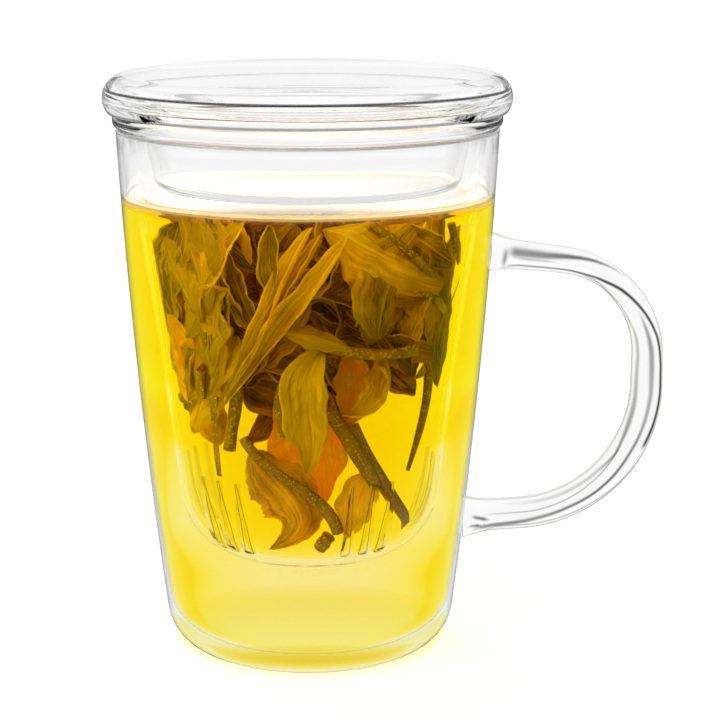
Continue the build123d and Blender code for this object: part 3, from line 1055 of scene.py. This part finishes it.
# Leaf blades: points of the midrib in mm from base to tip, width in mm, direction of one side,
# fold along the midrib in degrees, curl, tone, depth of the teeth.
BLADES = (
    (((1, -22, 99), (-4, -26, 89), (-10, -26, 76), (-20, -21, 60)), 7.0, (1, -0.6, 0.2), 58, 0.2, 0.66, 0),
    (((3, -20, 97), (-1, -25, 90), (-5, -26, 84), (-11, -26, 74)), 5.4, (1, -0.5, 0.2), 60, 0.2, 0.55, 0),
    (((8, -24, 97), (3, -27, 88), (-6, -27, 76), (-18, -22, 60)), 8.0, (1, -0.6, 0.3), 54, 0.2, 0.7, 0),
    (((3, -20, 98), (12, -24, 95), (20, -22, 90), (30, -17, 85)), 15, (0, -0.35, -1), 28, 0.25, 0.66, 0.03),
    (((7, -18, 91), (15, -20, 86), (24, -16, 82)), 9, (0, -0.4, -1), 20, 0.2, 0.6, 0),
    (((-5, -26, 77), (2, -27, 76), (9, -26, 73)), 5, (0, -0.5, -1), 30, 0.2, 0.7, 0),
    (((10, -20, 82), (13, -22, 78), (12, -20, 73)), 7, (1, -0.3, 0), 15, -0.3, 0.45, 0),
    (((14, -20, 72), (17, -20, 66), (14, -21, 60), (7, -22, 58)), 8, (0.6, -0.6, -0.4), 35, 0.4, 0.68, 0.03),
    (((3, -24, 73), (-1, -26, 65), (0, -25, 55), (-1, -23, 45)), 10.5, (1, -0.15, 0), 16, 0.25, 0.72, 0),
    (((8, -17, 71), (10, -17, 63), (7, -17, 54)), 9, (1, -0.2, 0), 20, 0.2, 0.95, 0),
    (((-12, -21, 50), (-6, -21, 42), (-2, -20, 35), (-9, -19, 27)),
     13, (-0.8, -0.2, 0.6), 14, 0.15, 0.52, 0.12),
    (((13, -17, 44), (10, -18, 37), (8, -17, 29)), 8.5, (1, -0.2, 0), 14, 0.2, 0.78, 0),
    (((-2, -13, 64), (0, -14, 51), (3, -14, 36)), 17, (1, 0, 0), 10, 0.15, 0.98, 0.02),
    (((-30, -9, 78), (-27, -10, 69), (-20, -12, 57)), 13, (0.8, -0.5, 0.4), 18, 0.2, 0.97, 0.03),
    (((-15, -20, 75), (-17, -21, 69), (-21, -20, 62)), 6, (0.8, -0.5, 0), 30, 0.2, 0.6, 0),
    (((-13, -22, 100), (-18, -22, 92), (-22, -20, 84)), 8, (0.7, -0.6, 0.3), 25, 0.2, 0.82, 0.02),
    (((-17, -20, 94), (-14, -21, 84), (-10, -21, 75)), 8, (0.8, -0.5, 0.2), 25, 0.2, 0.4, 0),
    (((-23, -20, 85), (-18, -21, 84), (-14, -21, 80)), 7, (0.2, -0.5, 0.8), 15, 0.2, 0.9, 0.1),
    (((-8, -25, 100), (-8, -26, 92), (-6, -26, 82)), 6, (1, -0.2, 0), 45, 0.4, 0.36, 0),
    (((19, -15, 98), (25, -15, 94), (31, -13, 89)), 11, (-0.3, -0.3, 0.8), 18, 0.2, 0.38, 0.03),
    (((25, -16, 84), (22, -17, 79), (20, -17, 72)), 11, (1, -0.3, 0.2), 20, 0.2, 0.55, 0.05),
    (((14, -17, 75), (21, -17, 72), (29, -14, 70)), 7, (0, -0.4, 1), 15, 0.2, 0.5, 0.02),
    (((32, -8, 97), (30, -10, 89), (30, -12, 81)), 3, (1, -0.5, 0), 30, 0.2, 0.6, 0),
    (((-27, -8, 98), (-29, -8, 88), (-27, -8, 74)), 15, (0.5, -0.8, 0), 8, 0.1, 0.25, 0.02),
    (((-20, -18, 99), (-20, -19, 88), (-17, -19, 74)), 12, (0.7, -0.7, 0), 10, 0.1, 0.3, 0.03),
    (((-32, 0, 93), (-32, 0, 84), (-31, 0, 72)), 12, (0.1, -1, 0), 8, 0.1, 0.5, 0.02),
)
# Stems: points in mm from end to end, then the radius in mm at each end.
STEMS = (
    (((-23, -18, 67), (-23, -18, 61)), 1.3, 1.3),
    (((-20, -21, 62), (-21, -21, 54), (-20, -20, 44)), 1.0, 0.85),
    (((-15, -21, 64), (-17, -20, 50)), 1.35, 1.3),
    (((-4, -24, 68), (-6, -24, 62), (-5, -23, 54)), 1.2, 1.4),
    (((-14, -22, 53), (-8, -22, 46), (1, -21, 39), (6, -19, 31)), 1.0, 1.35),
    (((4, -21, 59), (9, -21, 51), (14, -19, 42)), 1.7, 1.7),
    (((9, -19, 55), (16, -18, 41), (22, -15, 31)), 1.5, 1.4),
    (((22, -14, 79), (25, -13, 70), (25, -12, 60), (21, -12, 43)), 1.5, 0.45),
    (((-2, -25, 76), (10, -24, 72), (23, -20, 72)), 1.1, 1.25),
    (((13, -20, 99), (20, -20, 94), (26, -17, 87)), 0.9, 1.0),
    (((23, -18, 85), (27, -17, 82), (31, -14, 79)), 1.0, 1.0),
    (((34, -8, 85), (30, -12, 80)), 0.4, 0.5),
    (((4, -19, 30), (2, -18, 27)), 1.5, 1.5),
    (((30, -12, 98), (32, -10, 89)), 0.9, 0.8),
    (((-22, -20, 76), (-21, -20, 71)), 0.8, 0.8),
)
# Leaves drawn at random: how many, then the ranges of their directions from the front in radians, of their
# distance from the axis and height in mm, and of their tone. The last three groups are pressed to the glass.
# The dark tones of the leaves behind the front ones are partly their own colour and partly painted shade in
# the gaps.
PACKED = (
    (46, (-1.1, 1.1), (2, 15), (62, 98), (0.24, 0.42)),
    (40, (1.1, 5.2), (8, 27), (64, 98), (0.25, 0.7)),
    (13, (-1.75, -0.62), (29, 31), (76, 98), (0.0, 0.14)),
    (8, (-1.6, -0.8), (26, 29), (66, 80), (0.3, 0.95)),
    (10, (0.75, 1.6), (27, 30), (74, 97), (0.25, 0.55)),
)
# Small bubbles that cling under the infuser: place in mm, radius in mm.
BUBBLES = (
    (-6.5, -19.6, 22.2, 0.35), (-3.4, -20.4, 22.3, 0.42), (-2.2, -20.0, 22.1, 0.6),
    (-0.6, -20.6, 22.2, 0.3), (1.2, -20.2, 22.0, 0.72), (2.6, -20.6, 22.3, 0.4), (4.3, -20.3, 22.1, 0.5),
    (5.6, -20.1, 22.1, 0.55), (9.6, -19.2, 22.2, 0.48), (-9.0, -19.0, 22.3, 0.32),
    (12.4, -17.8, 22.3, 0.3),
)
# Leaf colours by tone: a dull rose below 0.2, then from dark brown to amber.
LEAF_TONES = (
    (0.0, (0.66, 0.47, 0.4)), (0.14, (0.68, 0.47, 0.36)), (0.22, (0.14, 0.07, 0.02)),
    (0.4, (0.48, 0.31, 0.07)), (0.6, (0.78, 0.54, 0.07)), (0.8, (0.95, 0.78, 0.1)), (1.0, (1.0, 0.54, 0.03)),
)


def through(points, share):
    """Smooth curve through two to four points: one polynomial a coordinate, over the travelled chord."""
    points = np.asarray(points, float)
    chord = np.concatenate([[0], np.cumsum(np.linalg.norm(np.diff(points, axis=0), axis=1))])
    chord /= chord[-1]
    fits = [np.polyfit(chord, points[:, axis], len(points) - 1) for axis in range(3)]
    return np.column_stack([np.polyval(fit, share) for fit in fits])


def within_basket(points, sizes, level, gap):
    """Draws points in towards the axis where they would leave the basket, and under the tea's surface.

    From 0.8 of the wall's radius outwards, a radius becomes the wall's times tanh(pressing times their
    ratio) over tanh(pressing), and at most the wall's.
    """
    pressing = 1.15
    wall_gap = sizes.basket_wall + gap
    z = np.clip(points[:, 2], INFUSER_LOW.z + 0.8 * MM + wall_gap, level - 0.6 * MM)
    wall = basket_outside(sizes, np.maximum(z, BASKET_STRAIGHT)) - wall_gap
    wall -= drawn_in(z, BASKET_STRAIGHT, BASKET_CORNER - wall_gap)
    radius = np.hypot(points[:, 0], points[:, 1])
    soft = wall * np.tanh(radius / wall * pressing) / math.tanh(pressing)
    pull = np.minimum(np.minimum(soft, wall) / np.maximum(radius, 1e-9), 1)
    pull = np.where(radius > 0.8 * wall, pull, 1)
    return np.column_stack([points[:, 0] * pull, points[:, 1] * pull, z])


def blade(points, width, across, fold, curl, teeth, phase, rows=44, columns=15):
    """Leaf blade over (share of its length u, side v from -1 to 1).

    The midrib runs through the points. Half the width is the width times sin(pi u^0.8)^0.85, with a saw
    edge. Each side rises from the midrib by the fold's angle, bends further with v squared, waves along
    the edge, and dips between side veins. The blade twists along its length by its curl, and its two
    edges wander in and out separately.
    """
    across = np.asarray(across, float)
    along_share = np.linspace(0, 1, rows)
    v = np.linspace(-1, 1, columns)
    spine = through(np.asarray(points, float) * MM, along_share)
    along = unit(np.gradient(spine, axis=0))
    side = unit(across - along * (along @ across)[:, None])
    normal = np.cross(along, side)
    u = along_share[:, None]
    twist = 1.5 * curl * (u - 0.5) * math.copysign(1, phase - 0.5)
    cosine, sine = np.cos(twist), np.sin(twist)
    side, normal = side * cosine + normal * sine, normal * cosine - side * sine
    half = width * MM / 2 * np.sin(math.pi * u ** 0.8) ** 0.85 + 0.12 * MM
    half = half * (1 + teeth * (2 * np.abs((u * 17 + phase) % 1 - 0.5) - 0.5))
    near_edge, far_edge = 0.1 * wave(2.7 * u + phase), 0.1 * wave(3.4 * u + 2 * phase)
    half = half * (1 + np.where(v < 0, near_edge, far_edge))
    size = np.abs(v)
    angle = math.radians(fold)
    ripple = 0.11 * wave(2.3 * u + phase) * size ** 1.5 + 0.05 * wave(6.1 * u + 2.7 * phase) * size ** 2
    ripple = ripple + 0.06 * wave(4.3 * u + 0.8 * v + phase) * wave(1.9 * u - 0.7 * v + phase)
    veins = 0.02 * wave(8 * (u - 0.2 * size)) * np.sin(math.pi * size)
    out = half * v * math.cos(angle)
    up = half * (size * math.sin(angle) + curl * size ** 2 + ripple * np.sign(v) + veins)
    surface = spine[:, None, :] + side[:, None, :] * out[..., None] + normal[:, None, :] * up[..., None]
    grid = np.stack(np.broadcast_arrays(u, (v + 1) / 2), axis=2).reshape(-1, 2)
    return surface.reshape(-1, 3), quads(rows, columns, around=False), grid


def wave(turns):
    """Sine of so many full turns."""
    return np.sin(2 * math.pi * turns)


def leaf_piece(name, blades, sizes, level, material):
    """One mesh of many blades, with each blade's tone and its own places for the vein pattern."""
    rng = np.random.default_rng(len(blades))
    points, faces, grids, tones = [], [], [], []
    total = 0
    for spine, width, across, fold, curl, tone, teeth in blades:
        surface, patches, grid = blade(spine, width, across, fold, curl, teeth, rng.random())
        points.append(within_basket(surface, sizes, level, 0.5 * MM + 0.5 * MM * rng.random()))
        faces.append(patches + total)
        grids.append(grid)
        tones.append(np.full(len(surface), tone))
        total += len(surface)
    thing = piece(name, np.vstack(points), np.vstack(faces).tolist(), material, "infuser", "tea_leaf")
    add_values(thing, "tone", np.concatenate(tones))
    mesh = thing.data
    corner = np.empty(len(mesh.loops), np.int32)
    mesh.loops.foreach_get("vertex_index", corner)
    mesh.uv_layers.new(name="blade").data.foreach_set("uv", np.vstack(grids)[corner].ravel())
    wall = thing.modifiers.new("thickness", "SOLIDIFY")
    wall.thickness = 0.22 * MM
    wall.offset = 0


def swing(tree, source, size):
    """How far a pattern from 0 to 1 is off its middle, times a size."""
    return calc(tree, "MULTIPLY", calc(tree, "SUBTRACT", source, 0.5), size)


def leaf_material():
    """Steeped leaf: brown to amber by leaf, mottled, with paler ribs, edges painted paler as if lit from
    behind, and lit through from behind.
    """
    material, tree = new_material("steeped_leaf")
    place = node(tree, "TexCoord")["Object"]
    own = node(tree, "SeparateXYZ", {0: node(tree, "UVMap", uv_map="blade")[0]})
    side = calc(tree, "ABSOLUTE", calc(tree, "SUBTRACT", own["Y"], 0.5))
    rib = step(tree, side, 0.05, 0.01, way="LINEAR")
    slanted = calc(tree, "ADD", own["X"], calc(tree, "MULTIPLY", side, -0.45))
    slanted = calc(tree, "FRACT", calc(tree, "MULTIPLY", slanted, 9.0))
    slanted = calc(tree, "ABSOLUTE", calc(tree, "SUBTRACT", slanted, 0.5))
    ribs = calc(tree, "MAXIMUM", rib, step(tree, slanted, 0.07, 0.02, 0.0, 0.45, way="LINEAR"))
    tone = node(tree, "Attribute", attribute_name="tone")["Fac"]
    # Fibres run along the blade: noise stretched along it, shifted from leaf to leaf by the tone.
    drawn = node(tree, "CombineXYZ", {
        "X": calc(tree, "MULTIPLY", own["X"], 2.2),
        "Y": calc(tree, "MULTIPLY", own["Y"], 16.0),
        "Z": calc(tree, "MULTIPLY", tone, 70.0),
    })[0]
    fibre = noise(tree, drawn, 1.3, 4.0)
    shade = calc(tree, "ADD", tone, swing(tree, noise(tree, place, 160.0, 5.0), 0.5))
    shade = calc(tree, "ADD", shade, swing(tree, fibre, 0.7))
    # The ribs are paler in their own colour; the pale edges are a painted rim light.
    paler_ribs_and_painted_rim = calc(tree, "MAXIMUM", ribs, step(tree, side, 0.4, 0.49))
    paler_ribs_and_painted_rim = calc(tree, "MULTIPLY", paler_ribs_and_painted_rim, 0.6)
    colour = mixed_colour(tree, paler_ribs_and_painted_rim, ramp(tree, shade, LEAF_TONES), (1.0, 0.72, 0.12))
    height = calc(tree, "ADD", ribs, noise(tree, place, 420.0, 4.0))
    height = calc(tree, "ADD", height, calc(tree, "MULTIPLY", fibre, 2.0))
    skin = node(tree, "BsdfPrincipled", {
        "Base Color": colour,
        "Normal": relief(tree, height, 0.9, 0.0007),
        "Roughness": 0.5,
        "Specular IOR Level": 0.25,
    })[0]
    leaf = mix(tree, 0.5, skin, node(tree, "BsdfTranslucent", {"Color": colour})[0])
    # The blade is thin: part of the light goes on to the leaf behind it.
    node(tree, "OutputMaterial", {"Surface": lit_through(tree, leaf, (1.0, 0.84, 0.4), 0.75)})
    return material


def relief(tree, height, strength, distance):
    return node(tree, "Bump", {"Height": height, "Strength": strength, "Distance": distance})[0]


def stem_material():
    """Dark wet stalk with fine golden specks."""
    material, tree = new_material("wet_stem")
    place = node(tree, "TexCoord")["Object"]
    specks = node(tree, "TexVoronoi", {"Vector": place, "Scale": 1500.0})["Distance"]
    dots = step(tree, specks, 0.38, 0.2, way="LINEAR")
    dark = mixed_colour(tree, noise(tree, place, 260.0, 4.0), (0.06, 0.025, 0.004), (0.38, 0.2, 0.02))
    gold = mixed_colour(tree, calc(tree, "MULTIPLY", dots, 0.75), dark, (0.75, 0.45, 0.08))
    bark = {"Base Color": gold, "Normal": relief(tree, dots, 0.4, 0.0002), "Roughness": 0.4}
    node(tree, "OutputMaterial", {"Surface": node(tree, "BsdfPrincipled", bark)[0]})
    return material


def packed_blades():
    """The leaves behind the ones in front, and those pressed to the glass at both sides.

    Places, turns and sizes are drawn at random within each group's ranges.
    """
    rng = np.random.default_rng(7)
    blades = []
    for count, facings, reaches, heights, tones in PACKED:
        pressed = reaches[0] > 25
        for _ in range(count):
            outwards, around = directions(rng.uniform(*facings))
            middle = outwards * rng.uniform(*reaches) + UP * rng.uniform(*heights)
            way = rng.normal(size=3) * (1, 1, 1.2)
            if pressed:
                way = around * rng.normal() * 0.6 + UP
            way = unit(way)
            long = rng.uniform(18, 30) if pressed else rng.uniform(20, 36)
            bend = rng.normal(size=3) * long * (0.05 if pressed else 0.12)
            spine = [middle - way * long / 2, middle + bend, middle + way * long / 2]
            across = around if pressed else rng.normal(size=3)
            fold = rng.uniform(4, 14) if pressed else rng.uniform(8, 48)
            width, curl, tone = rng.uniform(8, 15), rng.uniform(0, 0.4), rng.uniform(*tones)
            blades.append((spine, width, across, fold, curl, tone, rng.choice([0, 0.03, 0.08])))
    return blades


class TEAMUG_OT_bubbles(bpy.types.Operator):
    """Let a few bubbles cling under the infuser"""

    bl_idname = "teamug.bubbles"
    bl_label = "Bubbles"

    def execute(self, context):
        turn = np.linspace(-math.pi / 2, math.pi / 2, 13)
        ball, patches = lathe(line(np.cos(turn), np.sin(turn)), segments=20)
        shape = joined([(np.array(place) * MM + ball * radius * MM, patches) for *place, radius in BUBBLES])
        # Painted shade: dark lines near each bubble's outline.
        lines = ((0.0, 1.0), (0.55, 1.0), (0.8, 0.6), (1.0, 0.35))
        thin = clear_material("bubble", (1, 0.97, 0.75), 1.02, painted_outline=lines, painted_flat_outline=lines)
        piece("bubbles", *shape, thin, "infuser", "tea")
        return {"FINISHED"}


class TEAMUG_OT_leaves(bpy.types.Operator):
    """Lay the steeped leaves in the basket"""

    bl_idname = "teamug.leaves"
    bl_label = "Leaves"

    def execute(self, context):
        sizes = context.scene.teamug_glass
        level = context.scene.teamug_brew.level
        material = leaf_material()
        packed = packed_blades()
        behind, at_back = PACKED[0][0], PACKED[0][0] + PACKED[1][0]
        leaf_piece("leaves_in_front", BLADES, sizes, level, material)
        leaf_piece("leaves_behind", packed[:behind], sizes, level, material)
        leaf_piece("leaves_at_back", packed[behind:at_back], sizes, level, material)
        leaf_piece("leaves_at_sides", packed[at_back:], sizes, level, material)
        return {"FINISHED"}


class TEAMUG_OT_stems(bpy.types.Operator):
    """Lay the stems among the leaves"""

    bl_idname = "teamug.stems"
    bl_label = "Stems"

    def execute(self, context):
        sizes = context.scene.teamug_glass
        level = context.scene.teamug_brew.level
        rng = np.random.default_rng(3)
        share = np.linspace(0, 1, 40)
        parts = []
        for spine, first, last in STEMS:
            centres = through(np.asarray(spine, float) * MM, share)
            along = unit(np.gradient(centres, axis=0))
            across = unit(np.cross(along, (0.3, 1.0, 0.1)))
            radii = (first + (last - first) * share) * MM * (1 + 0.07 * np.sin(9 * share + 6 * rng.random()))
            surface, faces = tube(centres, across, np.cross(along, across), radii, sides=20)
            parts.append((within_basket(surface, sizes, level, 0.3 * MM), faces))
        piece("leaf_stems", *joined(parts), stem_material(), "infuser", "tea_leaf")
        return {"FINISHED"}


# ---------------------------------------------------------------- stage

# Brightness as mirrored and refracted rays see it: round the object by degrees from straight behind it,
# and overhead by degrees above level.
FLAGS = (
    (0, 1.05), (27, 1.05), (30, 0.85), (33, 0.85), (36, 1.05), (40, 1.05), (43, 0.65), (52, 0.65),
    (57, 0.95), (66, 0.95), (72, 0.6), (84, 0.6), (92, 0.85), (104, 0.8), (116, 0.65), (180, 0.65),
)
OVERHEAD = ((0, 1.0), (17, 1.0), (20, 0.62), (26, 0.62), (30, 1.0), (50, 1.0), (60, 0.9), (90, 0.9))


def make_floor():
    """Wide pale floor that shows white and keeps half of the object's shadow."""
    side = 6.0
    mesh = bpy.data.meshes.new("floor")
    mesh.from_pydata(
        [(-side, -side, 0), (side, -side, 0), (side, side, 0), (-side, side, 0)], [], [(0, 1, 2, 3)]
    )
    material, tree = new_material("pale_floor")
    plain, shaded = (node(tree, "BsdfDiffuse", {"Color": (grey,) * 3})[0] for grey in (0.85, 0.25))
    both = node(tree, "AddShader", {0: shaded, 1: glow(tree, (0.8, 0.8, 0.8))})[0]
    seen, path, _ = seen_directly(tree)
    bent = path["Is Transmission Ray"]
    # Refracted rays see it white, without the shadow, and mirrored ones see it dark.
    white = mix(tree, calc(tree, "MULTIPLY", seen, bent), mix(tree, seen, plain, both), glow(tree, (1, 1, 1)))
    mirrored = calc(tree, "SUBTRACT", path["Is Glossy Ray"], bent)
    node(tree, "OutputMaterial", {"Surface": mix(tree, mirrored, white, glow(tree, (0.2, 0.2, 0.2)))})
    mesh.materials.append(material)
    floor = bpy.data.objects.new("floor", mesh)
    floor.location.z = -0.0002
    bpy.context.scene.collection.objects.link(floor)


def make_world(scene):
    """Even light on surfaces, white to the camera, and soft dark flags that only glass picks up."""
    world = bpy.data.worlds.new("studio")
    scene.world = world
    world.use_nodes = True
    tree = world.node_tree
    tree.nodes.clear()
    way = node(tree, "SeparateXYZ", {0: node(tree, "TexCoord")["Generated"]})
    turn = calc(tree, "ABSOLUTE", calc(tree, "ARCTAN2", way["X"], way["Y"]))
    rise = calc(tree, "ARCSINE", way["Z"])
    around, above = (
        ramp(tree, calc(tree, "DIVIDE", angle, math.pi), [(degrees / 180, grey) for degrees, grey in greys])
        for angle, greys in ((turn, FLAGS), (rise, OVERHEAD))
    )
    product = node(tree, "VectorMath", {0: around, 1: above}, operation="MULTIPLY")[0]
    flagged = node(tree, "Background", {"Color": product})[0]
    white = node(tree, "Background", {"Color": (1, 1, 1)})[0]
    lighting = node(tree, "Background", {"Color": (1, 1, 1), "Strength": 0.5})[0]
    seen, path, fallen = seen_directly(tree)
    sky = mix(tree, seen, lighting, mix(tree, path["Is Camera Ray"], flagged, white))
    # Surfaces in the glass get the sky's light by shadow rays, so a refracted ray doesn't bring it twice.
    through_glass = calc(tree, "MULTIPLY", fallen, path["Is Transmission Ray"])
    node(tree, "OutputWorld", {"Surface": mix(tree, through_glass, sky)})


def make_lamps():
    """Two broad soft lamps: one high at the front left, one behind that shines through the leaves."""
    for name, energy, tilt, turn in (("front_lamp", 1.7, 42, -48), ("back_lamp", 1.9, -52, 35)):
        data = bpy.data.lights.new(name, "SUN")
        data.energy = energy
        data.angle = math.radians(30)
        data.cycles.use_multiple_importance_sampling = False
        lamp = bpy.data.objects.new(name, data)
        lamp.rotation_euler = (math.radians(tilt), 0, math.radians(turn))
        bpy.context.scene.collection.objects.link(lamp)


class TEAMUG_OT_stage(bpy.types.Operator):
    """Set the floor, light and camera"""

    bl_idname = "teamug.stage"
    bl_label = "Stage"

    def execute(self, context):
        scene = context.scene
        stage = scene.teamug_stage
        make_floor()
        make_world(scene)
        make_lamps()
        data = bpy.data.cameras.new("camera")
        data.lens = stage.lens
        data.sensor_width = SENSOR
        data.clip_start = 0.01
        camera = bpy.data.objects.new("camera", data)
        scene.collection.objects.link(camera)
        yaw = math.atan((PICTURE / 2 - AXIS_COLUMN) / PICTURE * SENSOR / stage.lens)
        camera.location = (0, -stage.distance, stage.height)
        camera.rotation_euler = (math.pi / 2 - stage.pitch, 0, -yaw)
        scene.camera = camera
        scene.view_settings.view_transform = "Standard"
        scene.cycles.caustics_reflective = False
        scene.cycles.caustics_refractive = True
        scene.cycles.max_bounces = 40
        scene.cycles.transmission_bounces = 36
        scene.cycles.glossy_bounces = 12
        scene.cycles.transparent_max_bounces = 48
        scene.cycles.diffuse_bounces = 4
        return {"FINISHED"}


class TEAMUG_PT_panel(bpy.types.Panel):
    """Lists the mug's steps in the sidebar"""

    bl_idname = "TEAMUG_PT_panel"
    bl_label = "Tea mug"
    bl_space_type = "VIEW_3D"
    bl_region_type = "UI"
    bl_category = "Tea mug"

    def draw(self, context):
        layout = self.layout
        for step in STEPS:
            layout.operator(step.bl_idname)


STEPS = (
    TEAMUG_OT_mug,
    TEAMUG_OT_handle,
    TEAMUG_OT_infuser,
    TEAMUG_OT_lid,
    TEAMUG_OT_brew,
    TEAMUG_OT_bubbles,
    TEAMUG_OT_leaves,
    TEAMUG_OT_stems,
    TEAMUG_OT_stage,
)
GROUPS = (TeaMugGlassSizes, TeaMugBrew, TeaMugStage)
CLASSES = GROUPS + STEPS + (TEAMUG_PT_panel,)


def register():
    for item in CLASSES:
        bpy.utils.register_class(item)
    bpy.types.Scene.teamug_glass = bpy.props.PointerProperty(type=TeaMugGlassSizes)
    bpy.types.Scene.teamug_brew = bpy.props.PointerProperty(type=TeaMugBrew)
    bpy.types.Scene.teamug_stage = bpy.props.PointerProperty(type=TeaMugStage)


def unregister():
    del bpy.types.Scene.teamug_stage
    del bpy.types.Scene.teamug_brew
    del bpy.types.Scene.teamug_glass
    for item in reversed(CLASSES):
        bpy.utils.unregister_class(item)


def main():
    register()
    for step in STEPS:
        group, name = step.bl_idname.split(".")
        getattr(getattr(bpy.ops, group), name)()


if __name__ == "__main__":
    main()
